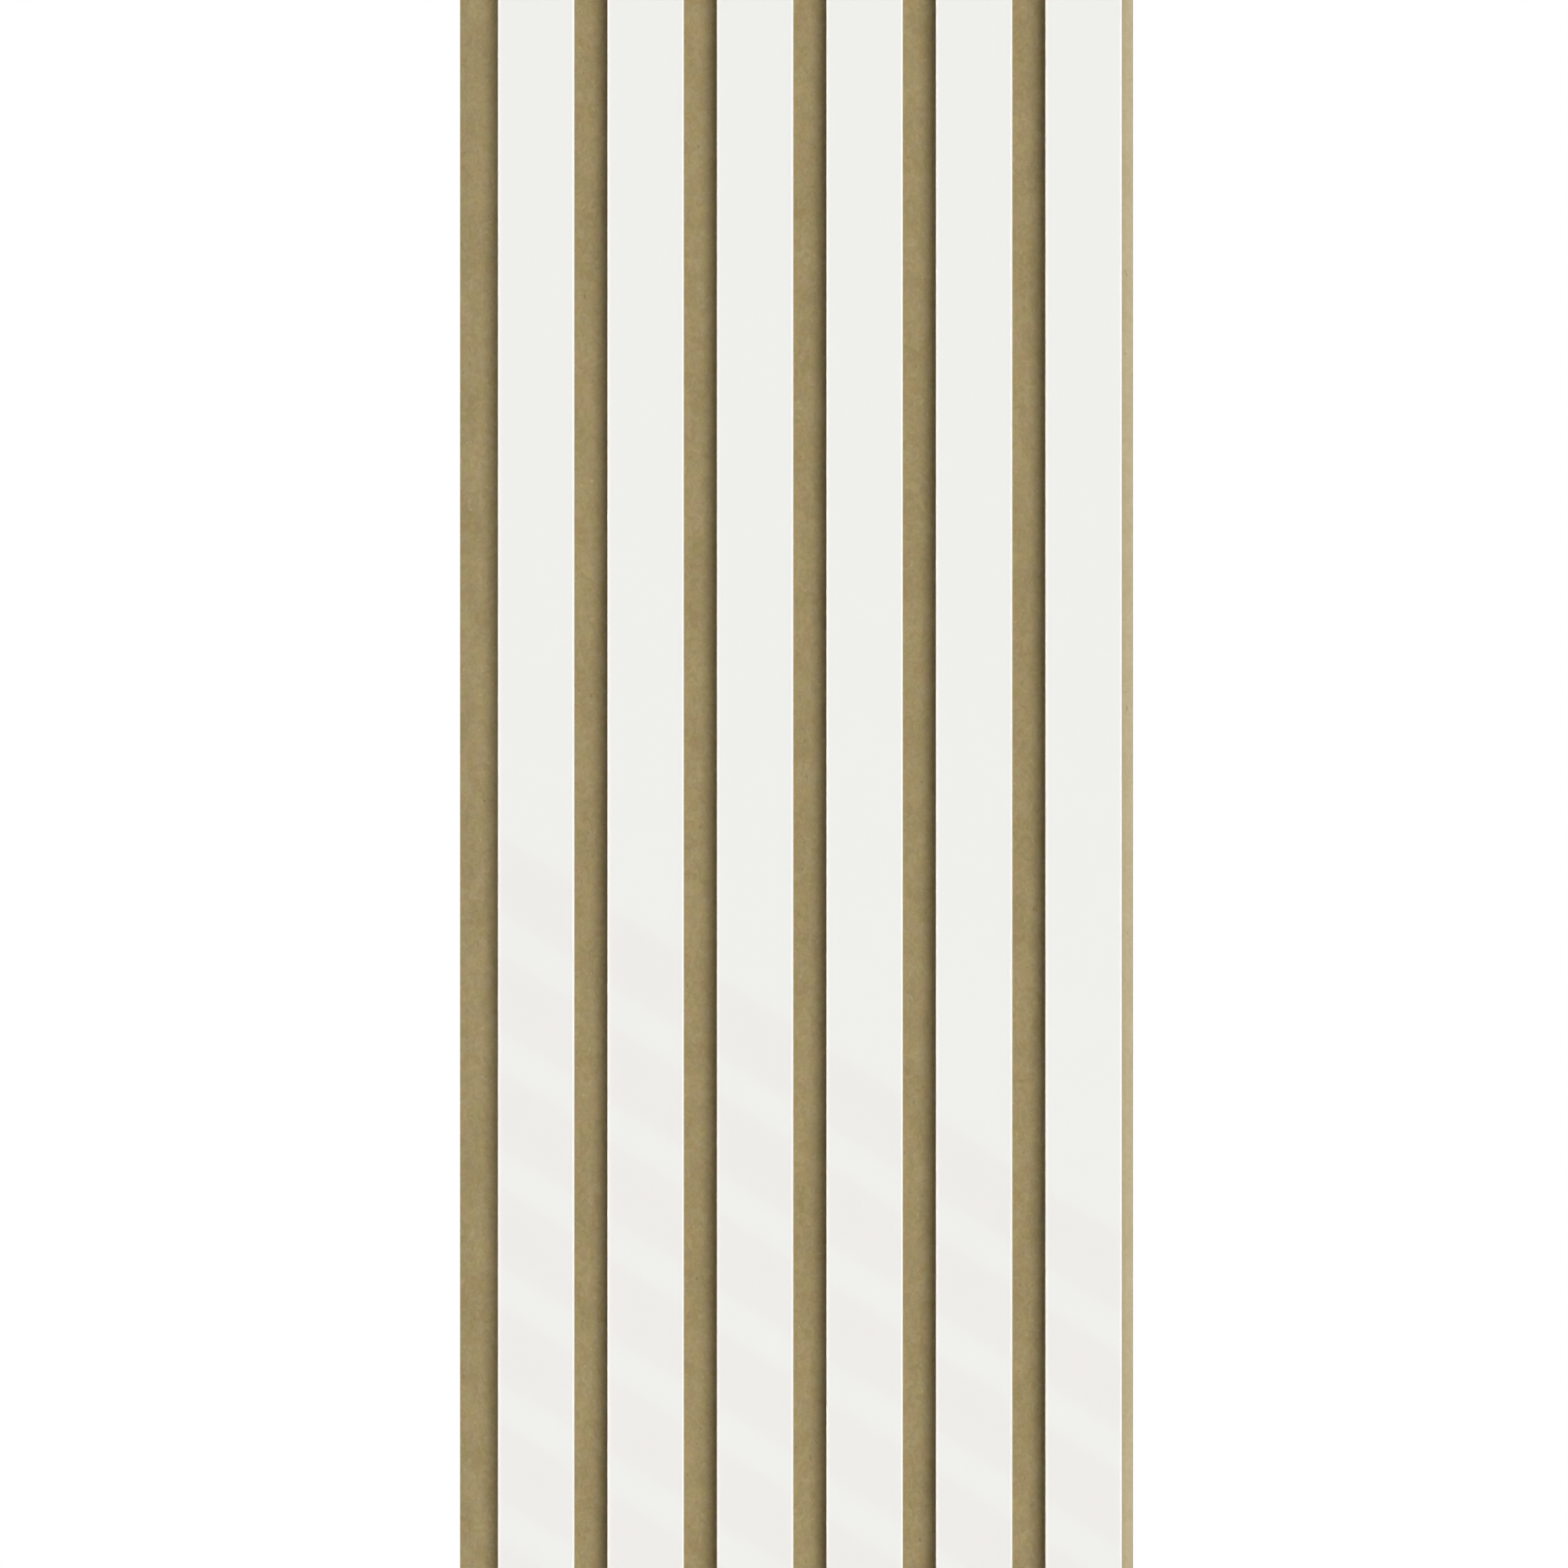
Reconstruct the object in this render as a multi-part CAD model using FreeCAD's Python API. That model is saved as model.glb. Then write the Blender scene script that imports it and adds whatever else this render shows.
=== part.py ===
"""Slat wall panel: six upright slats glued to a backing board with a half lap down each long edge.

Millimetres. +Z runs up along the slats, -Y points out of the wall and +X runs to the right, seen from
the front. The origin is the middle of the board's back face, which lies against the wall.
"""
import FreeCAD, Part
import os

# Panel
panel_length = 1200.0
slat_count = 6

# Slats
slat_width = 35.0
slat_thickness = 12.0
slat_edge_radius = 0.8  # the two long front edges, where the wrap turns over
groove_width = 15.0  # clear width between two slats

# Backing board
board_thickness = 6.0

# Half lap: the tongue stands out behind the last slat, and the next panel's lip covers it
tongue_reach = 5.5  # tongue past the side of the last slat
lip_overlap = 2.5  # how far a neighbour's lip slides in under the last slat, which hides the seam
lap_side_clearance = 0.5  # between a tip and the shoulder that it faces
lap_face_clearance = 0.2  # between the tongue's front and the lip's back
lap_lead_in = 0.5  # chamfer on each tip

slat_pitch = slat_width + groove_width
lap_thickness = (board_thickness - lap_face_clearance) / 2
shoulder_setback = lip_overlap + lap_side_clearance
lip_reach = groove_width + lip_overlap
rebate_width = lip_overlap + tongue_reach + lap_side_clearance
slats_span = slat_count * slat_pitch - groove_width
panel_width = lip_reach + slats_span + tongue_reach

left_edge = -panel_width / 2
right_edge = panel_width / 2
first_slat_left = left_edge + lip_reach
last_slat_right = right_edge - tongue_reach
bottom_end = -panel_length / 2


def prism(outline):
    """A solid of the panel's full length on a closed outline, a list of edges in the XY plane."""
    edges = [curve.toShape() for curve in outline]
    wire = Part.Wire(Part.__sortEdges__(edges))
    wire.translate(FreeCAD.Vector(0, 0, bottom_end))
    return Part.Face(wire).extrude(FreeCAD.Vector(0, 0, panel_length))


def straight_runs(corners):
    """Straight edges from each corner to the next, and from the last back to the first."""
    points = [FreeCAD.Vector(x, y, 0) for x, y in corners]
    return [Part.LineSegment(a, b) for a, b in zip(points, points[1:] + points[:1])]


def backing_board():
    """The board: a front half that ends in the lip on the left, a back half in the tongue on the right."""
    front = -board_thickness
    lip_back = front + lap_thickness
    tongue_front = -lap_thickness
    rebate_shoulder = left_edge + rebate_width
    front_shoulder = last_slat_right - shoulder_setback
    outline = straight_runs(
        [
            (left_edge, front),
            (front_shoulder, front),
            (front_shoulder, tongue_front),
            (right_edge - lap_lead_in, tongue_front),
            (right_edge, tongue_front + lap_lead_in),
            (right_edge, 0),
            (rebate_shoulder, 0),
            (rebate_shoulder, lip_back),
            (left_edge + lap_lead_in, lip_back),
            (left_edge, lip_back - lap_lead_in),
        ]
    )
    return prism(outline)


def slat(left):
    """One slat whose left side is at x = left. It stands on the board's front face."""
    back = -board_thickness
    front = back - slat_thickness
    right = left + slat_width
    radius = slat_edge_radius
    turn = radius * (1 - 0.5**0.5)  # from a corner's sides to the middle of its arc
    point = FreeCAD.Vector
    outline = [
        Part.LineSegment(point(left, back, 0), point(right, back, 0)),
        Part.LineSegment(point(right, back, 0), point(right, front + radius, 0)),
        Part.Arc(
            point(right, front + radius, 0),
            point(right - turn, front + turn, 0),
            point(right - radius, front, 0),
        ),
        Part.LineSegment(point(right - radius, front, 0), point(left + radius, front, 0)),
        Part.Arc(
            point(left + radius, front, 0),
            point(left + turn, front + turn, 0),
            point(left, front + radius, 0),
        ),
        Part.LineSegment(point(left, front + radius, 0), point(left, back, 0)),
    ]
    return prism(outline)


def panel():
    """Every piece of the panel by its name, slats numbered from the left."""
    pieces = {"backing_board": backing_board()}
    for i in range(slat_count):
        pieces[f"slat_{i + 1}"] = slat(first_slat_left + i * slat_pitch)
    return pieces


os.makedirs("parts", exist_ok=True)
for name, shape in panel().items():
    shape.exportStep(f"parts/{name}.step")
    print(f"{name}: {shape.Volume / 1000:.1f} cm3, valid {shape.isValid()}")
print(f"panel: {panel_width:.1f} wide, {slat_count * slat_pitch:.1f} cover width, {panel_length:.1f} long")
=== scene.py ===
"""Slat wall panel: gloss-wrapped slats on a raw fibre board, in a plain pale studio.

Metres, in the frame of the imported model: +Z runs up along the slats, -Y points out of the wall and +X
to the right. The origin is the middle of the board's back face.
"""
import logging
import math
from collections.abc import Mapping, Sequence
from dataclasses import dataclass, field
from enum import Enum

import bmesh
import bpy
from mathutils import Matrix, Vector


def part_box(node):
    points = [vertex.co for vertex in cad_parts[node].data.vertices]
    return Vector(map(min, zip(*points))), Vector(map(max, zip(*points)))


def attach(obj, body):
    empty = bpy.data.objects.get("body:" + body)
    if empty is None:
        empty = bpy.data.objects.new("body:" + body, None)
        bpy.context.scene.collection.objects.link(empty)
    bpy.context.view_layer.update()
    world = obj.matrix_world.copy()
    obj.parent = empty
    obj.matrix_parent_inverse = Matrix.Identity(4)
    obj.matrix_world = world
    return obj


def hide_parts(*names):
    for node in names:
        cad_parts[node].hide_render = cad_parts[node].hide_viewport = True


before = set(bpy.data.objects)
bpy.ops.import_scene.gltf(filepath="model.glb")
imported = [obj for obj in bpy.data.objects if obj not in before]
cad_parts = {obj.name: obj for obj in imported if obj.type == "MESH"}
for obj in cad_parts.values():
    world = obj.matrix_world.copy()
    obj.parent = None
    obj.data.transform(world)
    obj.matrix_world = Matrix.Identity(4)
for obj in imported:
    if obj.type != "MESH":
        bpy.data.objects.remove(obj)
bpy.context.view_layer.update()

log = logging.getLogger("slat_panel")

MM = 0.001
BODY = "root"
BOARD_NODE = "backing_board"
SLAT_NODES = "slat_"  # what their names start with
RAW_FACE = "raw_face"  # the attribute that marks a slat's faces that show its core
WELD = 0.001 * MM  # corners nearer than this are one corner
SHARP_CORNER = math.radians(30)
MOSTLY = 0.5  # a face looks along an axis when its normal has more than this along it
FLAT_ON = 0.9999  # and looks straight along it when it has more than this
NOISE_SPAN = (0.3, 0.7)  # nearly all the values of a noise lie between these

Colour = tuple[float, float, float]


class RayKind(Enum):
    """The kinds of ray that meet the bright white surroundings instead of the studio's soft light."""

    CAMERA = "Is Camera Ray"
    GLOSSY = "Is Glossy Ray"
    TRANSMISSION = "Is Transmission Ray"


class LampPart(Enum):
    """What a lamp is there for: the light on the panel, its gleam in the gloss, or both."""

    BOTH = "light and gleam"
    LIGHT = "light"
    GLEAM = "gleam"


def linear(*levels: float) -> Colour:
    """Turns a colour as a screen shows it into the linear one that a shader takes.

    Args:
        levels: red, green and blue, each 0 to 255.

    Returns:
        The linear colour, each channel 0 to 1.
    """
    shares = [level / 255 for level in levels]
    # The usual curve of a screen: straight in the darkest tones, and a power above them.
    return tuple(s / 12.92 if s <= 0.04045 else ((s + 0.055) / 1.055) ** 2.4 for s in shares)


class NodeSheet:
    """A node tree with short calls that add nodes and join them."""

    def __init__(self, tree: bpy.types.NodeTree) -> None:
        """Starts from an empty tree.

        Args:
            tree: the tree to fill. Nodes that it came with are cleared.
        """
        self.tree = tree
        tree.nodes.clear()

    def add(self, kind: str, inputs: Mapping[int | str, object] | None = None,
            **settings: object) -> bpy.types.Node:
        """Adds one node.

        Args:
            kind: the node's type name.
            inputs: values or output sockets, by the input's name or number.
            settings: properties of the node itself, such as its operation.

        Returns:
            The new node.
        """
        node = self.tree.nodes.new(kind)
        for name, value in settings.items():
            setattr(node, name, value)
        for key, value in (inputs or {}).items():
            self.feed(node.inputs[key], value)
        return node

    def feed(self, socket: bpy.types.NodeSocket, value: object) -> None:
        """Joins an output socket to an input, or sets the input's own value.

        Args:
            socket: the input socket.
            value: an output socket, or a plain value.
        """
        if isinstance(value, bpy.types.NodeSocket):
            self.tree.links.new(value, socket)
        else:
            socket.default_value = value

    def math(self, operation: str, *values: object) -> bpy.types.NodeSocket:
        """Adds a Math node and returns its result.

        Args:
            operation: the Math node's operation.
            values: sockets or numbers, in the node's own order.

        Returns:
            The socket that holds the result.
        """
        return self.add("ShaderNodeMath", dict(enumerate(values)), operation=operation).outputs[0]

    def split(self, vector: object) -> tuple[bpy.types.NodeSocket, ...]:
        """Parts a vector's socket into the sockets of its x, y and z."""
        return tuple(self.add("ShaderNodeSeparateXYZ", {0: vector}).outputs)

    def vector(self, x: object = 0.0, y: object = 0.0, z: object = 0.0) -> bpy.types.NodeSocket:
        """Joins three sockets or numbers into the socket of a vector."""
        return self.add("ShaderNodeCombineXYZ", {0: x, 1: y, 2: z}).outputs[0]

    def spread(self, value: object, low: float, high: float, to_low: float = 0.0,
               to_high: float = 1.0) -> bpy.types.NodeSocket:
        """Maps a value smoothly from one range to another, and holds it at both ends.

        Args:
            value: the socket to map.
            low: the value that gives to_low.
            high: the value that gives to_high.
            to_low: the result at and below low.
            to_high: the result at and above high.

        Returns:
            The socket that holds the result.
        """
        node = self.add("ShaderNodeMapRange", {0: value, 1: low, 2: high, 3: to_low, 4: to_high},
                        interpolation_type="SMOOTHSTEP")
        return node.outputs["Result"]

    def mix(self, share: object, first: object, second: object) -> bpy.types.NodeSocket:
        """Mixes two colours.

        Args:
            share: how much of the second colour there is, 0 to 1.
            first: a colour or a colour socket.
            second: a colour or a colour socket.

        Returns:
            The mixed colour's socket.
        """
        node = self.add("ShaderNodeMix", data_type="RGBA")
        self.feed(node.inputs[0], share)
        for place, colour in ((6, first), (7, second)):
            self.feed(node.inputs[place], (*colour, 1.0) if isinstance(colour, tuple) else colour)
        return node.outputs[2]


def new_material(name: str) -> tuple[bpy.types.Material, NodeSheet]:
    """Makes an empty node material.

    Args:
        name: the material's name.

    Returns:
        The material and the sheet of its nodes.
    """
    material = bpy.data.materials.new(name)
    material.use_nodes = True
    return material, NodeSheet(material.node_tree)


@dataclass(frozen=True)
class Fleck:
    """One kind of fleck in the board, scattered one to a cell and only in some cells."""

    colour: Colour
    radius: float  # over the cells' pitch
    share: float  # of the cells that have one
    strength: float  # how much of its colour covers the board's


@dataclass(frozen=True)
class FibreBoardFinish:
    """Raw fibre board: a hard olive-brown skin on both faces, and a paler core where it is cut."""

    name: str
    front: float  # y of the board's front face
    back: float  # y of its back face
    skin_warm: Colour = linear(157.4, 136.8, 99)
    skin_olive: Colour = linear(152.6, 140.4, 99)
    skin_straw: Colour = linear(155, 138.6, 93.5)
    skin_grey: Colour = linear(155, 138.6, 104.5)
    core: Colour = linear(188, 174, 140)
    pale_fleck: Fleck = Fleck(linear(190, 176, 138), 0.14, 0.3, 0.35)
    dark_fleck: Fleck = Fleck(linear(104, 88, 58), 0.13, 0.35, 0.4)
    fibre_strength: float = 0.6  # over a pale fleck's
    skin_depth: float = 0.9 * MM
    skin_whole: float = 0.15  # the share of that depth that is all skin, before it pales
    cloud: float = 14.0 * MM  # the sizes of the pattern's spots, from the widest to the finest
    warmth: float = 6.8 * MM
    dryness: float = 5.44 * MM
    mottle: float = 3.4 * MM
    grain: float = 0.45 * MM
    tint_span: tuple[float, float] = (0.35, 0.65)  # where a noise turns one tint into the other
    fleck_pitch: float = 3.4 * MM
    fibre_pitch: float = 4.6 * MM
    fibre_line: tuple[float, float] = (0.01, 0.035)  # where a fibre's rim starts and ends, over the pitch
    fibre_bit: float = 0.4  # how long the bits are that fibres are cut into, over the pitch
    fibre_gate: tuple[float, float] = (0.55, 0.65)  # where a noise lets a fibre show
    bends: float = 0.9  # how often a line bends in one fibre pitch
    sway: float = 1.3  # the most that it bends aside, over the fibre pitch
    lean: float = 0.9  # the angle that the dark flecks are turned by, in radians
    slimness: float = 0.5  # a dark fleck's width over its length
    upright: float = 0.7  # the pattern's scale along the board over its scale across
    cloud_depth: float = 0.045  # how far the clouds lighten and darken the board
    mottle_depth: float = 0.09
    grain_depth: float = 0.055
    tone: Colour = (0.9, 1.0, 1.35)  # how far red, green and blue follow the light and dark
    core_calm: float = 0.5  # how strong the pattern is in the core, over its strength in the skin
    roughness: tuple[float, float] = (0.7, 0.86)
    bump_height: float = 0.05 * MM

    def pattern(self, sheet: NodeSheet, place: object, size: float, detail: float,
                curl: float = 0.0) -> bpy.types.NodeSocket:
        """A soft random pattern.

        Args:
            sheet: the sheet to add it to.
            place: the socket of the places that it is read at.
            size: the size of its spots.
            detail: how many finer layers it has.
            curl: how far its spots are drawn out into curls.

        Returns:
            Its value, nearly always within NOISE_SPAN.
        """
        node = sheet.add("ShaderNodeTexNoise", {
            "Vector": place, "Scale": 1 / size, "Detail": detail, "Roughness": 0.55, "Distortion": curl,
        })
        return node.outputs[0]

    def crooked(self, sheet: NodeSheet, place: object) -> bpy.types.NodeSocket:
        """Moves every place a little way at random, so that what is drawn there comes out crooked.

        Args:
            sheet: the sheet to add it to.
            place: the socket of the places to move.

        Returns:
            The moved places.
        """
        drift = sheet.add("ShaderNodeTexNoise",
                          {"Vector": place, "Scale": self.bends / self.fibre_pitch, "Detail": 3.0})
        shift = sheet.add("ShaderNodeVectorMath",
                          {0: drift.outputs["Color"], "Scale": self.sway * self.fibre_pitch},
                          operation="SCALE")
        return sheet.add("ShaderNodeVectorMath", {0: place, 1: shift.outputs[0]}).outputs[0]

    def scattered(self, sheet: NodeSheet, place: object, fleck: Fleck) -> bpy.types.NodeSocket:
        """Scatters one kind of fleck.

        Args:
            sheet: the sheet to add them to.
            place: the socket of the places that they are read at.
            fleck: the kind of fleck.

        Returns:
            1 on a fleck and 0 off it.
        """
        cells = sheet.add("ShaderNodeTexVoronoi", {"Vector": place, "Scale": 1 / self.fleck_pitch})
        chance = sheet.add("ShaderNodeSeparateColor", {"Color": cells.outputs["Color"]}).outputs[0]
        spot = sheet.spread(cells.outputs["Distance"], fleck.radius * 0.5, fleck.radius, 1.0, 0.0)
        return sheet.math("MULTIPLY", spot, sheet.math("LESS_THAN", chance, fleck.share))

    def fibres(self, sheet: NodeSheet, place: object, crooked: object) -> bpy.types.NodeSocket:
        """Short curved fibres: thin lines on the borders of crooked cells, cut into bits.

        Args:
            sheet: the sheet to add them to.
            place: the socket of the places that the bits are cut by.
            crooked: the socket of the places that the lines are read at.

        Returns:
            1 on a fibre and 0 off it.
        """
        cells = sheet.add("ShaderNodeTexVoronoi", {"Vector": crooked, "Scale": 1 / self.fibre_pitch},
                          feature="DISTANCE_TO_EDGE")
        line = sheet.spread(cells.outputs["Distance"], *self.fibre_line, 1.0, 0.0)
        gate = self.pattern(sheet, place, self.fibre_bit * self.fibre_pitch, detail=0.0)
        return sheet.math("MULTIPLY", line, sheet.spread(gate, *self.fibre_gate))

    def skin(self, sheet: NodeSheet, here: object, place: object) -> bpy.types.NodeSocket:
        """The skin's colour, half of it from warm to olive and half from straw to grey.

        Args:
            sheet: the sheet to add it to.
            here: the socket of the places in the panel.
            place: the socket of the places, drawn out along the board.

        Returns:
            The colour's socket.
        """
        warmth = self.pattern(sheet, here, self.warmth, detail=1.0)
        dryness = self.pattern(sheet, place, self.dryness, detail=1.0)
        warm_or_olive = sheet.mix(sheet.spread(warmth, *self.tint_span), self.skin_warm, self.skin_olive)
        straw_or_grey = sheet.mix(sheet.spread(dryness, *self.tint_span), self.skin_straw, self.skin_grey)
        return sheet.mix(0.5, warm_or_olive, straw_or_grey)

    def cut_in(self, sheet: NodeSheet, here: object) -> bpy.types.NodeSocket:
        """Tells the core from the skin by the distance to the nearer face of the board.

        Args:
            sheet: the sheet to add it to.
            here: the socket of the places in the panel.

        Returns:
            0 in the skin and 1 in the core.
        """
        depth_in = sheet.split(here)[1]
        from_front = sheet.math("SUBTRACT", depth_in, self.front)
        from_back = sheet.math("SUBTRACT", self.back, depth_in)
        depth = sheet.math("MINIMUM", from_front, from_back)
        return sheet.spread(depth, self.skin_whole * self.skin_depth, self.skin_depth)

    def marked(self, sheet: NodeSheet, place: object, colour: object) -> bpy.types.NodeSocket:
        """Lays the dark flecks, and over them the pale flecks and the fibres, on a colour.

        Args:
            sheet: the sheet to add them to.
            place: the socket of the places, drawn out along the board.
            colour: the colour's socket.

        Returns:
            The socket of the colour with its marks.
        """
        crooked = self.crooked(sheet, place)
        tilted = sheet.add("ShaderNodeMapping", {
            "Vector": crooked, "Rotation": (0.0, self.lean, 0.0), "Scale": (1.0, 1.0, self.slimness),
        }).outputs[0]
        dark = self.scattered(sheet, tilted, self.dark_fleck)
        pale = self.scattered(sheet, crooked, self.pale_fleck)
        fibres = sheet.math("MULTIPLY", self.fibres(sheet, place, crooked), self.fibre_strength)
        for mark, fleck in ((dark, self.dark_fleck),
                            (sheet.math("MAXIMUM", pale, fibres), self.pale_fleck)):
            colour = sheet.mix(sheet.math("MULTIPLY", mark, fleck.strength), colour, fleck.colour)
        return colour

    def material(self) -> bpy.types.Material:
        """Builds the material.

        Returns:
            The finished material.
        """
        material, sheet = new_material(self.name)
        here = sheet.add("ShaderNodeTexCoord").outputs["Object"]
        place = sheet.add("ShaderNodeMapping",
                          {"Vector": here, "Scale": (1.0, 1.0, self.upright)}).outputs[0]
        clouds = self.pattern(sheet, place, self.cloud, detail=1.0)
        mottle = self.pattern(sheet, place, self.mottle, detail=3.0, curl=1.4)
        grain = self.pattern(sheet, place, self.grain, detail=2.0)
        cut_in = self.cut_in(sheet, here)
        colour = sheet.mix(cut_in, self.skin(sheet, here, place), self.core)
        colour = self.marked(sheet, place, colour)

        wobble: object = 0.0
        for layer, reach in ((clouds, self.cloud_depth), (mottle, self.mottle_depth),
                             (grain, self.grain_depth)):
            wobble = sheet.math("ADD", wobble, sheet.spread(layer, *NOISE_SPAN, -reach, reach))
        calm = sheet.spread(cut_in, 0.0, 1.0, 1.0, self.core_calm)
        shade = sheet.add("ShaderNodeVectorMath", {
            0: sheet.math("MULTIPLY", wobble, calm), 1: self.tone, 2: (1.0, 1.0, 1.0),
        }, operation="MULTIPLY_ADD")
        shaded = sheet.add("ShaderNodeVectorMath", {0: colour, 1: shade.outputs[0]}, operation="MULTIPLY")

        bump = sheet.add("ShaderNodeBump", {"Height": grain, "Distance": self.bump_height, "Strength": 0.6})
        shader = sheet.add("ShaderNodeBsdfPrincipled", {
            "Base Color": shaded.outputs[0],
            "Roughness": sheet.spread(grain, *NOISE_SPAN, *self.roughness),
            "Specular IOR Level": 0.2,
            "Normal": bump.outputs[0],
        })
        sheet.add("ShaderNodeOutputMaterial", {"Surface": shader.outputs[0]})
        return material


@dataclass(frozen=True)
class GlossWrapFinish:
    """The white gloss wrap of the slats: a smooth sheet, with a highlight painted paler along their left
    arrises.
    """

    front: float  # y of the slats' faces
    turn: float  # how far behind the face the wrap has turned onto the side
    first_left: float  # x of the first slat's left side
    pitch: float  # from one slat to the next
    name: str = "gloss_white_wrap"
    white: Colour = linear(239, 239, 235)
    cloudy: Colour = linear(238.6, 238.6, 234.6)
    # painted highlight: the paler colour of the strip along each slat's left arris
    stretched: Colour = linear(252, 248, 242)
    stretched_width: float = 1.7 * MM  # half of it fades
    stretched_end: tuple[float, float] = (0.7, 1.2)  # where it fades on the way to the side, over the turn
    cloud: float = 35.0 * MM
    ripple: float = 7.0 * MM
    ripple_height: float = 0.0007 * MM
    roughness: tuple[float, float] = (0.01, 0.02)

    def on_arris(self, sheet: NodeSheet, here: object) -> bpy.types.NodeSocket:
        """Marks the narrow strip along each slat's left arris, where the highlight is painted.

        Args:
            sheet: the sheet to add it to.
            here: the socket of the places in the panel.

        Returns:
            1 on the strip and 0 off it.
        """
        across, inwards, _ = sheet.split(here)
        from_first = sheet.math("SUBTRACT", across, self.first_left)
        from_left = sheet.math("FLOORED_MODULO", from_first, self.pitch)
        close = sheet.spread(from_left, 0.5 * self.stretched_width, self.stretched_width, 1.0, 0.0)
        behind = sheet.math("DIVIDE", sheet.math("SUBTRACT", inwards, self.front), self.turn)
        return sheet.math("MULTIPLY", close, sheet.spread(behind, *self.stretched_end, 1.0, 0.0))

    def material(self) -> bpy.types.Material:
        """Builds the material.

        Returns:
            The finished material.
        """
        material, sheet = new_material(self.name)
        here = sheet.add("ShaderNodeTexCoord").outputs["Object"]
        wave = sheet.add("ShaderNodeTexNoise", {"Vector": here, "Scale": 1 / self.ripple, "Detail": 1.0})
        cloud = sheet.add("ShaderNodeTexNoise", {"Vector": here, "Scale": 1 / self.cloud})
        colour = sheet.mix(sheet.spread(cloud.outputs[0], *NOISE_SPAN), self.cloudy, self.white)
        # paints the highlight along each slat's left arris
        colour = sheet.mix(self.on_arris(sheet, here), colour, self.stretched)
        bump = sheet.add("ShaderNodeBump", {"Height": wave.outputs[0], "Distance": self.ripple_height})
        shader = sheet.add("ShaderNodeBsdfPrincipled", {
            "Base Color": colour,
            "Roughness": sheet.spread(wave.outputs[0], *NOISE_SPAN, *self.roughness),
            "IOR": 1.5,
            "Normal": bump.outputs[0],
        })
        sheet.add("ShaderNodeOutputMaterial", {"Surface": shader.outputs[0]})
        return material


@dataclass(frozen=True)
class FloorFinish:
    """A plain pale floor that fades to the white of the background before its rim."""

    name: str = "pale_floor"
    pale: float = 0.86  # how much of the light it gives back to the eye
    bounce: float = 0.08  # how much it gives back to the panel: little, so that its foot isn't brighter
    glow: float = 0.45  # how much of the background's white the camera sees in the floor itself
    fade_from: float = 0.8  # from the floor's middle
    fade_to: float = 2.2
    roughness: float = 0.6

    def material(self) -> bpy.types.Material:
        """Builds the material.

        Returns:
            The finished material.
        """
        material, sheet = new_material(self.name)
        here = sheet.add("ShaderNodeTexCoord").outputs["Object"]
        flat = sheet.add("ShaderNodeVectorMath", {0: here, 1: (1.0, 1.0, 0.0)}, operation="MULTIPLY")
        out = sheet.add("ShaderNodeVectorMath", {0: flat.outputs[0]}, operation="LENGTH").outputs["Value"]
        rays = sheet.add("ShaderNodeLightPath")
        seen = sheet.math("MAXIMUM", rays.outputs[RayKind.CAMERA.value],
                          rays.outputs[RayKind.GLOSSY.value])
        whiter = sheet.spread(out, self.fade_from, self.fade_to, self.glow, 1.0)
        fade = sheet.math("MULTIPLY", whiter, seen)
        back = sheet.spread(seen, 0.0, 1.0, self.bounce, self.pale)
        matte = sheet.add("ShaderNodeBsdfPrincipled", {"Base Color": back, "Roughness": self.roughness})
        white = sheet.add("ShaderNodeEmission")
        top = sheet.add("ShaderNodeMixShader", {0: fade, 1: matte.outputs[0], 2: white.outputs[0]})
        clear = sheet.add("ShaderNodeBsdfTransparent")
        under = sheet.add("ShaderNodeNewGeometry").outputs["Backfacing"]
        both = sheet.add("ShaderNodeMixShader", {0: under, 1: top.outputs[0], 2: clear.outputs[0]})
        sheet.add("ShaderNodeOutputMaterial", {"Surface": both.outputs[0]})
        return material


@dataclass(frozen=True)
class PanelPlan:
    """The panel's places and sizes, as the CAD nodes have them."""

    left: float  # x of the board's two edges
    right: float
    foot: float  # z of its two ends
    head: float
    board_front: float  # y of its front face
    slat_front: float  # y of the slats' faces
    first_slat: float  # x of the first slat's left side
    slat_width: float
    slat_pitch: float
    slat_nodes: tuple[str, ...]

    @classmethod
    def from_frame(cls) -> "PanelPlan":
        """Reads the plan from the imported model.

        Returns:
            The plan.
        """
        slats = tuple(sorted((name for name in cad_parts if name.startswith(SLAT_NODES)),
                             key=lambda name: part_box(name)[0].x))
        board_low, board_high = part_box(BOARD_NODE)
        first_low, first_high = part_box(slats[0])
        second_low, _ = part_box(slats[1])
        return cls(
            left=board_low.x,
            right=board_high.x,
            foot=board_low.z,
            head=board_high.z,
            board_front=board_low.y,
            slat_front=first_low.y,
            first_slat=first_low.x,
            slat_width=first_high.x - first_low.x,
            slat_pitch=second_low.x - first_low.x,
            slat_nodes=slats,
        )

    @property
    def length(self) -> float:
        """The panel's length along the slats."""
        return self.head - self.foot

    @property
    def last_slat_right(self) -> float:
        """The x of the last slat's right side."""
        return self.first_slat + (len(self.slat_nodes) - 1) * self.slat_pitch + self.slat_width


def keep_as_piece(piece: bpy.types.Object, nodes: Sequence[str]) -> None:
    """Hangs a finished piece on the panel's body in place of its CAD nodes.

    Args:
        piece: the finished object.
        nodes: the CAD nodes that it stands for.
    """
    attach(piece, BODY)
    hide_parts(*nodes)
    log.info("%s: %d faces, for %s", piece.name, len(piece.data.polygons), ", ".join(nodes))


def plain_mesh(carrier: bpy.types.Object, name: str) -> bpy.types.Mesh:
    """Turns an object with its modifiers into a plain mesh, and removes the object.

    Args:
        carrier: the object that holds the modifiers.
        name: the new mesh's name.

    Returns:
        The mesh.
    """
    finished = carrier.evaluated_get(bpy.context.evaluated_depsgraph_get())
    mesh = bpy.data.meshes.new_from_object(finished)
    mesh.name = name
    carrier.modifiers.clear()
    bpy.data.objects.remove(carrier)
    return mesh


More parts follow.
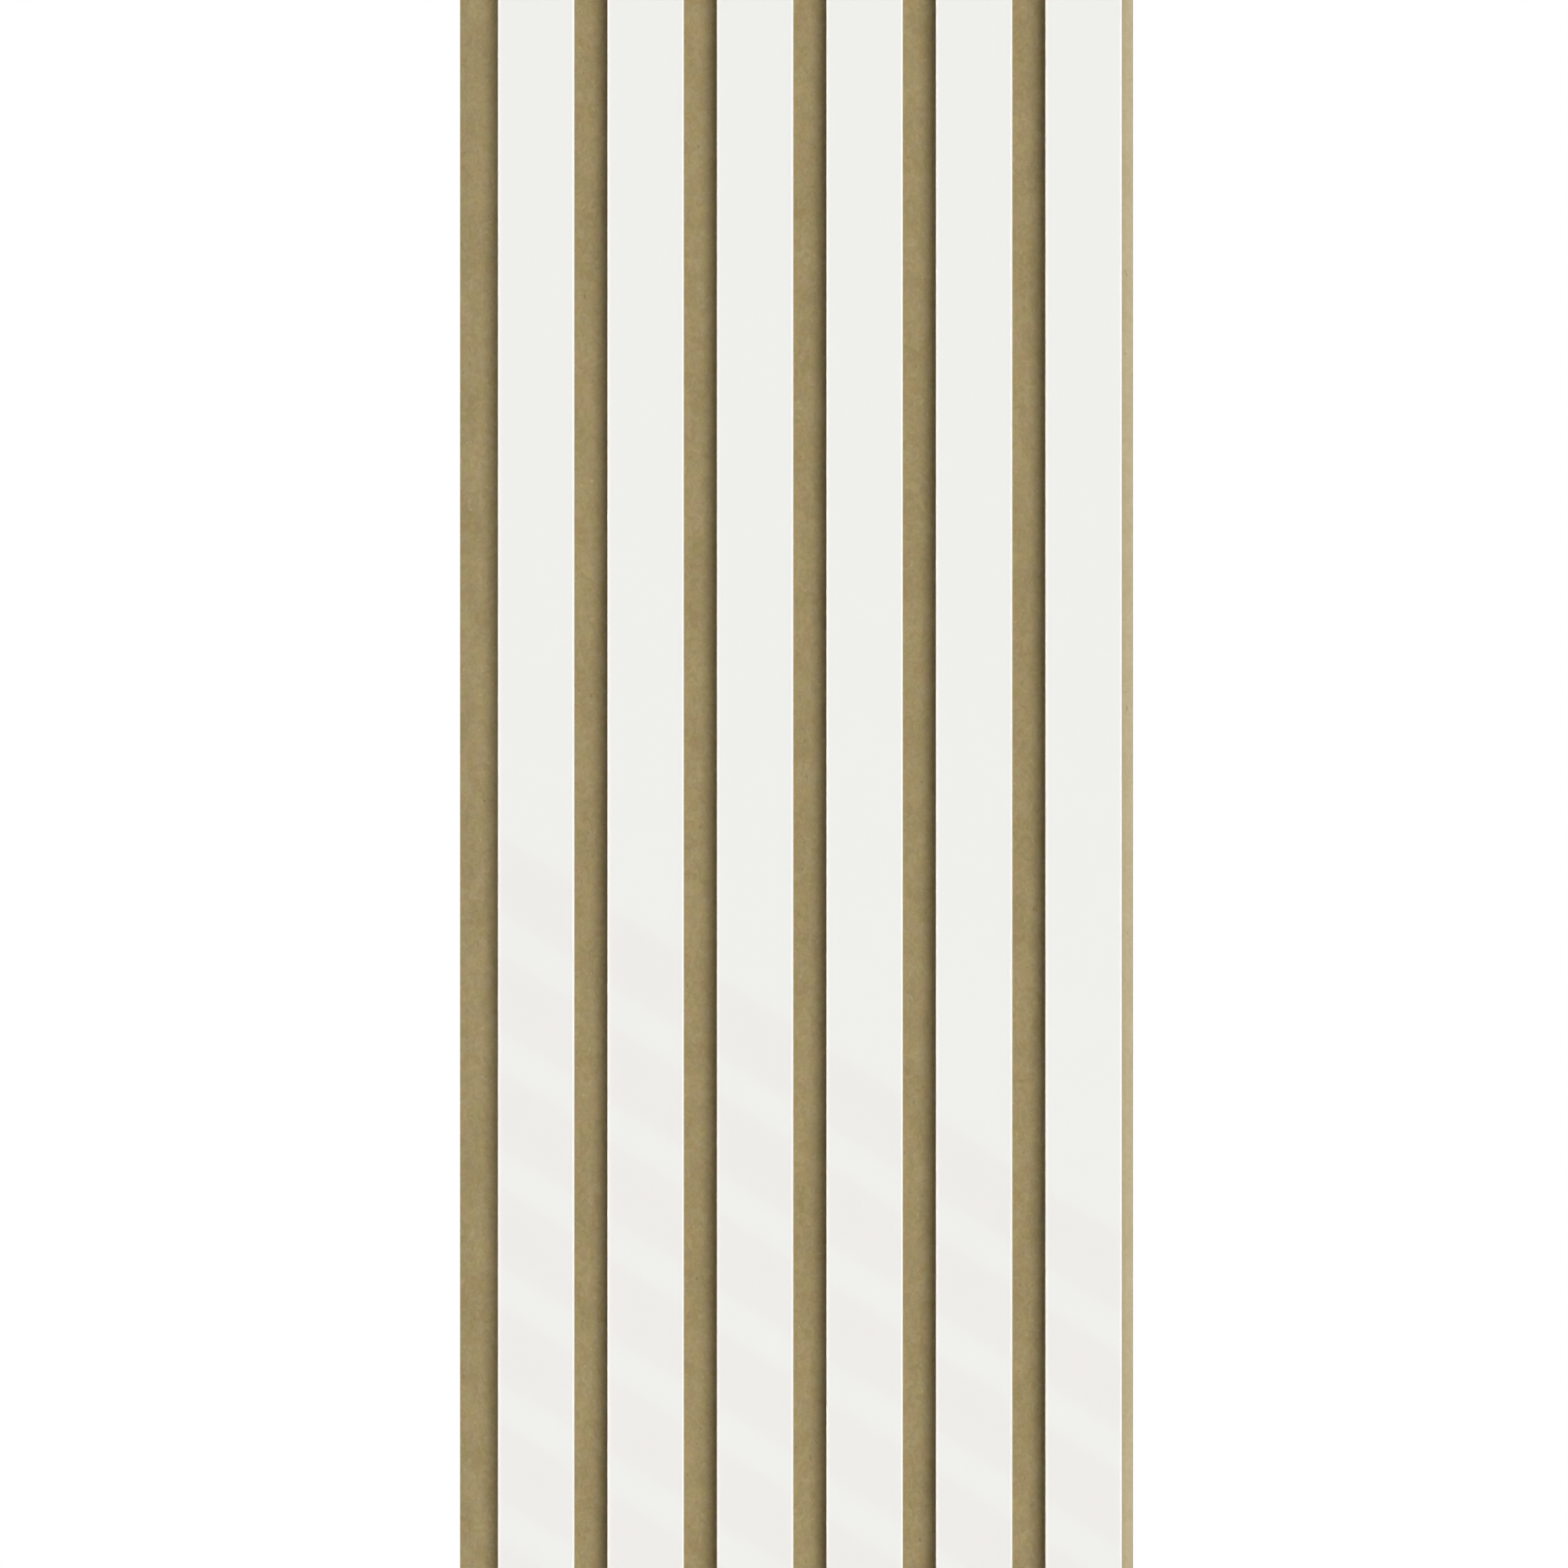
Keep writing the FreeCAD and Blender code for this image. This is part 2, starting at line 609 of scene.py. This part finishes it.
def new_object(name: str, mesh: bpy.types.Mesh) -> bpy.types.Object:
    """Makes an object at the origin and links it to the scene.

    Args:
        name: the object's name.
        mesh: its mesh, with its place in it.

    Returns:
        The object.
    """
    made = bpy.data.objects.new(name, mesh)
    bpy.context.scene.collection.objects.link(made)
    return made


@dataclass
class BackingBoard:
    """The carrier board, with a half lap down each long edge."""

    plan: PanelPlan
    finish: FibreBoardFinish
    lip_overlap: float = 2.5 * MM  # how far a neighbour's lip slides in under the last slat
    side_clearance: float = 0.5 * MM
    face_clearance: float = 0.2 * MM
    lead_in: float = 0.5 * MM
    eased: float = 0.15 * MM  # radius of the worn arrises

    def outline(self) -> list[tuple[float, float]]:
        """Works out the board's section.

        Returns:
            Its corners in the XY plane, anticlockwise seen from above.
        """
        plan = self.plan
        lap = (-plan.board_front - self.face_clearance) / 2  # the thickness of lip and tongue
        lip_back = plan.board_front + lap
        tongue_reach = plan.right - plan.last_slat_right
        shoulder = plan.last_slat_right - self.lip_overlap - self.side_clearance
        rebate = plan.left + self.lip_overlap + tongue_reach + self.side_clearance
        return [
            (plan.left, plan.board_front),
            (shoulder, plan.board_front),
            (shoulder, -lap),
            (plan.right - self.lead_in, -lap),
            (plan.right, -lap + self.lead_in),
            (plan.right, 0.0),
            (rebate, 0.0),
            (rebate, lip_back),
            (plan.left + self.lead_in, lip_back),
            (plan.left, lip_back - self.lead_in),
        ]

    def blank(self) -> bpy.types.Mesh:
        """The board with crisp arrises, extruded from its outline.

        Returns:
            The mesh.
        """
        form = bmesh.new()
        feet = [form.verts.new((x, y, self.plan.foot)) for x, y in self.outline()]
        foot = form.faces.new(feet)
        grown = bmesh.ops.extrude_face_region(form, geom=[foot], use_keep_orig=True)
        heads = [part for part in grown["geom"] if isinstance(part, bmesh.types.BMVert)]
        bmesh.ops.translate(form, verts=heads, vec=(0.0, 0.0, self.plan.length))
        bmesh.ops.recalc_face_normals(form, faces=form.faces)
        for face in form.faces:
            face.smooth = True
        mesh = bpy.data.meshes.new(BOARD_NODE)
        form.to_mesh(mesh)
        form.free()
        return mesh

    def build(self) -> bpy.types.Object:
        """Makes the finished board.

        Returns:
            The board's object.
        """
        carrier = new_object("board_blank", self.blank())
        ease = carrier.modifiers.new("eased_arrises", "BEVEL")
        ease.width = self.eased
        ease.segments = 2
        ease.limit_method = "ANGLE"
        ease.angle_limit = SHARP_CORNER
        ease.harden_normals = True
        mesh = plain_mesh(carrier, "raw_board")
        mesh.materials.append(self.finish.material())
        board = new_object("raw_board", mesh)
        keep_as_piece(board, [BOARD_NODE])
        return board


@dataclass
class SlatRow:
    """The row of wrapped slats, made by one Geometry Nodes tree and then parted into single slats."""

    plan: PanelPlan
    wrap: GlossWrapFinish
    core: FibreBoardFinish
    edge_radius: float = 0.8 * MM
    edge_steps: int = 6
    wrap_thickness: float = 0.3 * MM
    sockets: dict[str, str] = field(default_factory=dict)  # each input's identifier, by its name

    def open_tree(self, inputs: Mapping[str, object]) -> tuple[NodeSheet, bpy.types.Node]:
        """Makes an empty tree with a named input for each size and finish.

        Args:
            inputs: each input's name and value.

        Returns:
            The tree's sheet and its node of inputs.
        """
        tree = bpy.data.node_groups.new("slat_row", "GeometryNodeTree")
        tree.interface.new_socket("Geometry", in_out="OUTPUT", socket_type="NodeSocketGeometry")
        for name, value in inputs.items():
            kind = "Material" if isinstance(value, bpy.types.Material) else type(value).__name__.title()
            socket = tree.interface.new_socket(name, in_out="INPUT", socket_type=f"NodeSocket{kind}")
            self.sockets[name] = socket.identifier
        sheet = NodeSheet(tree)
        return sheet, sheet.add("NodeGroupInput")

    def section(self, sheet: NodeSheet, given: bpy.types.Node) -> bpy.types.NodeSocket:
        """One slat's section: a rectangle with its two front corners rounded, filled.

        Args:
            sheet: the tree's sheet.
            given: the node of inputs.

        Returns:
            The flat face at the slat's foot, with its middle at x = 0.
        """
        size = given.outputs
        crisp = sheet.add("GeometryNodeCurvePrimitiveQuadrilateral",
                          {"Width": size["Width"], "Height": size["Thickness"]})
        inwards = sheet.split(sheet.add("GeometryNodeInputPosition").outputs[0])[1]
        at_front = sheet.math("LESS_THAN", inwards, 0.0)
        rounded = sheet.add("GeometryNodeFilletCurve", {
            "Curve": crisp.outputs[0],
            "Count": size["Edge Steps"],
            "Radius": sheet.math("MULTIPLY", at_front, size["Edge Radius"]),
        }, mode="POLY")
        middle = sheet.math("ADD", size["Front"], sheet.math("MULTIPLY", size["Thickness"], 0.5))
        filled = sheet.add("GeometryNodeFillCurve", {"Curve": rounded.outputs[0]}, mode="NGONS")
        placed = sheet.add("GeometryNodeTransform", {
            "Geometry": filled.outputs[0],
            "Translation": sheet.vector(y=middle, z=size["Foot"]),
        })
        return placed.outputs[0]

    def strip(self, sheet: NodeSheet, given: bpy.types.Node) -> bpy.types.NodeSocket:
        """One whole slat: the section drawn out to the panel's length and closed at its foot.

        Args:
            sheet: the tree's sheet.
            given: the node of inputs.

        Returns:
            The closed slat.
        """
        section = self.section(sheet, given)
        rise = sheet.vector(z=given.outputs["Length"])
        drawn = sheet.add("GeometryNodeExtrudeMesh",
                          {"Mesh": section, "Offset": rise, "Individual": False})
        foot = sheet.add("GeometryNodeFlipFaces", {0: section})
        joined = sheet.add("GeometryNodeJoinGeometry", {0: drawn.outputs["Mesh"]})
        sheet.feed(joined.inputs[0], foot.outputs[0])
        welded = sheet.add("GeometryNodeMergeByDistance", {"Geometry": joined.outputs[0], "Distance": WELD})
        return welded.outputs[0]

    def show_core(self, sheet: NodeSheet, given: bpy.types.Node,
                  strip: bpy.types.NodeSocket) -> bpy.types.NodeSocket:
        """Parts each sawn end into the wrap's thin edge and the core, and marks the raw faces.

        Args:
            sheet: the tree's sheet.
            given: the node of inputs.
            strip: the closed slat.

        Returns:
            The slat with its raw faces marked, smooth only round its front edges.
        """
        size = given.outputs
        across, inwards, upwards = sheet.split(sheet.add("GeometryNodeInputNormal").outputs[0])
        at_end = sheet.math("GREATER_THAN", sheet.math("ABSOLUTE", upwards), MOSTLY)
        inset = sheet.add("GeometryNodeExtrudeMesh",
                          {"Mesh": strip, "Selection": at_end, "Offset Scale": 0.0, "Individual": False})
        back_middle = sheet.vector(y=sheet.math("ADD", size["Front"], size["Thickness"]))
        made = inset.outputs["Mesh"]
        top = inset.outputs["Top"]
        # The wrap lies on both sides of the core, but only in front of it.
        for axis, whole, walls in (((1.0, 0.0, 0.0), size["Width"], 2.0),
                                   ((0.0, 1.0, 0.0), size["Thickness"], 1.0)):
            edge = sheet.math("MULTIPLY", size["Wrap Thickness"], walls)
            share = sheet.math("DIVIDE", sheet.math("SUBTRACT", whole, edge), whole)
            made = sheet.add("GeometryNodeScaleElements", {
                "Geometry": made, "Selection": top, "Scale": share, "Center": back_middle,
                "Axis": axis,
            }, scale_mode="SINGLE_AXIS").outputs[0]
        at_back = sheet.math("GREATER_THAN", inwards, MOSTLY)
        raw = sheet.math("MAXIMUM", top, at_back)
        marked = sheet.add("GeometryNodeStoreNamedAttribute",
                           {"Geometry": made, "Name": RAW_FACE, "Value": raw},
                           data_type="BOOLEAN", domain="FACE")
        squarest = sheet.math("MAXIMUM", sheet.math("ABSOLUTE", across),
                              sheet.math("ABSOLUTE", inwards))
        on_arc = sheet.math("MULTIPLY", sheet.math("LESS_THAN", squarest, FLAT_ON),
                            sheet.math("SUBTRACT", 1.0, at_end))
        smooth = sheet.add("GeometryNodeSetShadeSmooth",
                           {"Geometry": marked.outputs[0], "Shade Smooth": on_arc})
        return smooth.outputs[0]

    def grow_row(self) -> bpy.types.Mesh:
        """Runs the tree once for the whole row.

        Returns:
            All the slats as one plain mesh.
        """
        plan = self.plan
        inputs: dict[str, object] = {
            "Count": len(plan.slat_nodes),
            "Pitch": plan.slat_pitch,
            "First Middle": plan.first_slat + plan.slat_width / 2,
            "Width": plan.slat_width,
            "Thickness": plan.board_front - plan.slat_front,
            "Front": plan.slat_front,
            "Foot": plan.foot,
            "Length": plan.length,
            "Edge Radius": self.edge_radius,
            "Edge Steps": self.edge_steps,
            "Wrap Thickness": self.wrap_thickness,
            "Wrap": self.wrap.material(),
            "Core": self.core.material(),
        }
        sheet, given = self.open_tree(inputs)
        slat = self.show_core(sheet, given, self.strip(sheet, given))
        places = sheet.add("GeometryNodeMeshLine", {
            "Count": given.outputs["Count"],
            "Start Location": sheet.vector(x=given.outputs["First Middle"]),
            "Offset": sheet.vector(x=given.outputs["Pitch"]),
        })
        row = sheet.add("GeometryNodeInstanceOnPoints", {"Points": places.outputs[0], "Instance": slat})
        real = sheet.add("GeometryNodeRealizeInstances", {0: row.outputs[0]})
        wrapped = sheet.add("GeometryNodeSetMaterial",
                            {"Geometry": real.outputs[0], "Material": given.outputs["Wrap"]})
        is_raw = sheet.add("GeometryNodeInputNamedAttribute", {"Name": RAW_FACE}, data_type="BOOLEAN")
        dressed = sheet.add("GeometryNodeSetMaterial", {
            "Geometry": wrapped.outputs[0],
            "Selection": is_raw.outputs["Attribute"],
            "Material": given.outputs["Core"],
        })
        sheet.add("NodeGroupOutput", {0: dressed.outputs[0]})

        carrier = new_object("slat_row", bpy.data.meshes.new("slat_row"))
        modifier = carrier.modifiers.new("slat_row", "NODES")
        modifier.node_group = sheet.tree
        for name, value in inputs.items():
            modifier[self.sockets[name]] = value
        return plain_mesh(carrier, "slat_row")

    def set_normals(self, mesh: bpy.types.Mesh, middle: float) -> None:
        """Gives each corner its true normal, so that the turned edges look round and the rest flat.

        Args:
            mesh: one slat's mesh, smooth on its turned edges only.
            middle: x of the slat's middle.
        """
        turn_x = self.plan.slat_width / 2 - self.edge_radius
        turn_y = self.plan.slat_front + self.edge_radius
        normals = []
        for face in mesh.polygons:
            for place in face.vertices:
                corner = mesh.vertices[place].co
                aside = corner.x - middle
                if face.use_smooth:
                    out = Vector((aside - math.copysign(turn_x, aside), corner.y - turn_y, 0.0))
                    normals.append(out.normalized())
                else:
                    normals.append(face.normal.copy())
        mesh.normals_split_custom_set(normals)

    def part_one(self, row: bpy.types.Mesh, place: int) -> bpy.types.Mesh:
        """Copies one slat out of the row.

        Args:
            row: the mesh of the whole row.
            place: the slat's number, counted from 0 at the left.

        Returns:
            The slat's own mesh.
        """
        middle = self.plan.first_slat + place * self.plan.slat_pitch + self.plan.slat_width / 2
        form = bmesh.new()
        form.from_mesh(row)
        others = [v for v in form.verts if abs(v.co.x - middle) > self.plan.slat_pitch / 2]
        bmesh.ops.delete(form, geom=others, context="VERTS")
        mesh = row.copy()
        mesh.name = f"wrapped_slat_{place + 1}"
        form.to_mesh(mesh)
        form.free()
        self.set_normals(mesh, middle)
        return mesh

    def build(self) -> list[bpy.types.Object]:
        """Makes every slat as an object of its own.

        Returns:
            The slats, from left to right.
        """
        row = self.grow_row()
        slats = []
        for place, node in enumerate(self.plan.slat_nodes):
            slat = new_object(f"wrapped_{node}", self.part_one(row, place))
            keep_as_piece(slat, [node])
            slats.append(slat)
        bpy.data.meshes.remove(row)
        return slats


@dataclass(frozen=True)
class Lamp:
    """A soft lamp, so far away that its light is even all over the panel."""

    name: str
    towards: tuple[float, float, float]  # from the panel to the lamp
    strength: float  # watts to the square metre
    width: float  # how wide it looks from the panel
    part: LampPart = LampPart.BOTH
    tint: Colour = (1.0, 1.0, 1.0)

    def hang(self) -> None:
        """Adds the lamp to the scene."""
        light = bpy.data.lights.new(self.name, "SUN")
        light.energy = self.strength
        light.angle = self.width
        light.color = self.tint
        lamp = bpy.data.objects.new(self.name, light)
        lamp.visible_diffuse = self.part is not LampPart.GLEAM
        lamp.visible_glossy = self.part is not LampPart.LIGHT
        lamp.rotation_euler = Vector(self.towards).to_track_quat("Z", "Y").to_euler()
        bpy.context.scene.collection.objects.link(lamp)


@dataclass
class ReflectedBars:
    """Slanting bars far in front of the panel, which only show as faint bands in the gloss.

    Their sizes are those of the bands on the slats' faces. The bars themselves are larger, because the
    camera sees them in the faces as in a mirror, and so from further off.
    """

    eye: Vector  # where the camera stands
    face: float  # y of the slats' faces
    count: int = 8
    tint: Colour = (0.74, 0.31, 0.34)
    left: float = -0.15  # x of the bands' two ends
    right: float = 0.16
    first_top: float = -0.1076  # z of the first band's upper edge, straight ahead of the camera
    fall: float = 0.6475  # how far a band falls over its run to the right
    pitch: float = 53.5 * MM  # from one band down to the next
    depth: float = 35.4 * MM  # of one band, measured straight down
    stand_off: float = 1.5  # from the slats' faces

    def mirrored(self, x: float, z: float) -> Vector:
        """Finds the place on the bars' plane that the camera sees at a place on the faces.

        Args:
            x: the place on the faces, across the panel.
            z: the same place's height.

        Returns:
            The place on the bars' plane.
        """
        ahead = self.face - self.eye.y
        grown = 1 + self.stand_off / ahead
        return Vector((
            self.eye.x + (x - self.eye.x) * grown,
            self.face - self.stand_off,
            self.eye.z + (z - self.eye.z) * grown,
        ))

    def material(self) -> bpy.types.Material:
        """Builds the bars' plain glow.

        Returns:
            The finished material.
        """
        material, sheet = new_material("reflected_bar")
        glow = sheet.add("ShaderNodeEmission", {"Color": (*self.tint, 1.0)})
        sheet.add("ShaderNodeOutputMaterial", {"Surface": glow.outputs[0]})
        return material

    def build(self) -> bpy.types.Object:
        """Stands the bars up as part of the stage.

        Returns:
            The bars' object.
        """
        form = bmesh.new()
        for place in range(self.count):
            corners = []
            for x, drop in ((self.left, 0.0), (self.left, self.depth), (self.right, self.depth),
                            (self.right, 0.0)):
                level = self.first_top - place * self.pitch - self.fall * (x - self.eye.x) - drop
                corners.append(form.verts.new(self.mirrored(x, level)))
            form.faces.new(corners)
        mesh = bpy.data.meshes.new("reflected_bars")
        form.to_mesh(mesh)
        form.free()
        mesh.materials.append(self.material())
        bars = new_object("reflected_bars", mesh)
        for ray in ("camera", "diffuse", "transmission", "volume_scatter", "shadow"):
            setattr(bars, f"visible_{ray}", False)
        return bars


@dataclass
class Studio:
    """Camera, floor, soft light and white surroundings."""

    plan: PanelPlan
    floor_finish: FloorFinish
    photo_side: int = 1860  # px
    photo_scale: float = 2598.0  # px to the metre, at the slats' faces
    photo_middle: float = 945.1  # px from the left to the panel's middle
    camera_distance: float = 6.0  # from the slats' faces
    ambient: float = 0.165  # how bright the white surroundings are as a light, over how they look
    lamps: tuple[Lamp, ...] = (
        Lamp("key_lamp", (0.34, -1.0, 0.14), 2.313, math.radians(34)),
        Lamp("left_lamp", (-0.9, -0.42, 0.04), 0.7, math.radians(20)),
        Lamp("left_gleam", (-1.0, -0.25, 0.04), 1.3, math.radians(20), LampPart.GLEAM, (1.0, 0.75, 0.45)),
        Lamp("right_lamp", (1.0, -0.25, 0.04), 0.6, math.radians(20), LampPart.LIGHT),
        Lamp("back_lamp", (-0.4, 1.0, 0.15), 1.7, math.radians(34)),
        Lamp("top_lamp", (0.0, 0.06, 1.0), 1.1, math.radians(30)),
    )
    floor_radius: float = 2.5

    def add_camera(self) -> bpy.types.Object:
        """Stands the camera square to the slats' faces, as the photograph has it.

        Returns:
            The camera.
        """
        lens = bpy.data.cameras.new("camera")
        lens.sensor_width = 36.0
        lens.lens = lens.sensor_width * self.camera_distance * self.photo_scale / self.photo_side
        camera = bpy.data.objects.new("camera", lens)
        aside = (self.photo_side / 2 - self.photo_middle) / self.photo_scale
        camera.location = (aside, self.plan.slat_front - self.camera_distance, 0.0)
        camera.rotation_euler = (math.radians(90), 0.0, 0.0)
        bpy.context.scene.collection.objects.link(camera)
        bpy.context.scene.camera = camera
        return camera

    def add_world(self) -> None:
        """Surrounds the panel with white, dimmer for the light that it gives."""
        world = bpy.data.worlds.new("white_surroundings")
        world.use_nodes = True
        sheet = NodeSheet(world.node_tree)
        rays = sheet.add("ShaderNodeLightPath")
        seen: object = 0.0
        for kind in RayKind:
            seen = sheet.math("MAXIMUM", seen, rays.outputs[kind.value])
        strength = sheet.spread(seen, 0.0, 1.0, self.ambient, 1.0)
        white = sheet.add("ShaderNodeBackground", {"Color": (1.0, 1.0, 1.0, 1.0), "Strength": strength})
        sheet.add("ShaderNodeOutputWorld", {"Surface": white.outputs[0]})
        bpy.context.scene.world = world

    def add_floor(self) -> None:
        """Lays a round floor under the panel's foot."""
        form = bmesh.new()
        bmesh.ops.create_circle(form, cap_ends=True, segments=96, radius=self.floor_radius)
        bmesh.ops.translate(form, verts=form.verts, vec=(0.0, 0.0, self.plan.foot))
        bmesh.ops.recalc_face_normals(form, faces=form.faces)
        disc = next(iter(form.faces))
        if disc.normal.z < 0:
            disc.normal_flip()
        mesh = bpy.data.meshes.new("floor")
        form.to_mesh(mesh)
        form.free()
        mesh.materials.append(self.floor_finish.material())
        floor = new_object("floor", mesh)
        floor.visible_shadow = False  # the wide, low lamps reach below it, and must light the foot too

    def build(self) -> None:
        """Sets up the whole studio."""
        bpy.context.scene.view_settings.view_transform = "Standard"
        camera = self.add_camera()
        ReflectedBars(camera.location.copy(), self.plan.slat_front).build()
        self.add_world()
        self.add_floor()
        for lamp in self.lamps:
            lamp.hang()
        log.info("studio: camera %.2f m away, floor at %.3f m", self.camera_distance, self.plan.foot)


def main() -> None:
    """Builds the panel and its studio, and reports each piece."""
    logging.basicConfig(level=logging.INFO, format="%(name)s %(message)s")
    plan = PanelPlan.from_frame()
    board_finish = FibreBoardFinish("raw_fibre_board", front=plan.board_front, back=0.0)
    core_finish = FibreBoardFinish("slat_core", front=plan.slat_front, back=plan.board_front)
    BackingBoard(plan, board_finish).build()
    wrap_finish = GlossWrapFinish(plan.slat_front, SlatRow.edge_radius, plan.first_slat, plan.slat_pitch)
    SlatRow(plan, wrap_finish, core_finish).build()
    Studio(plan, FloorFinish()).build()


if __name__ == "__main__":
    main()
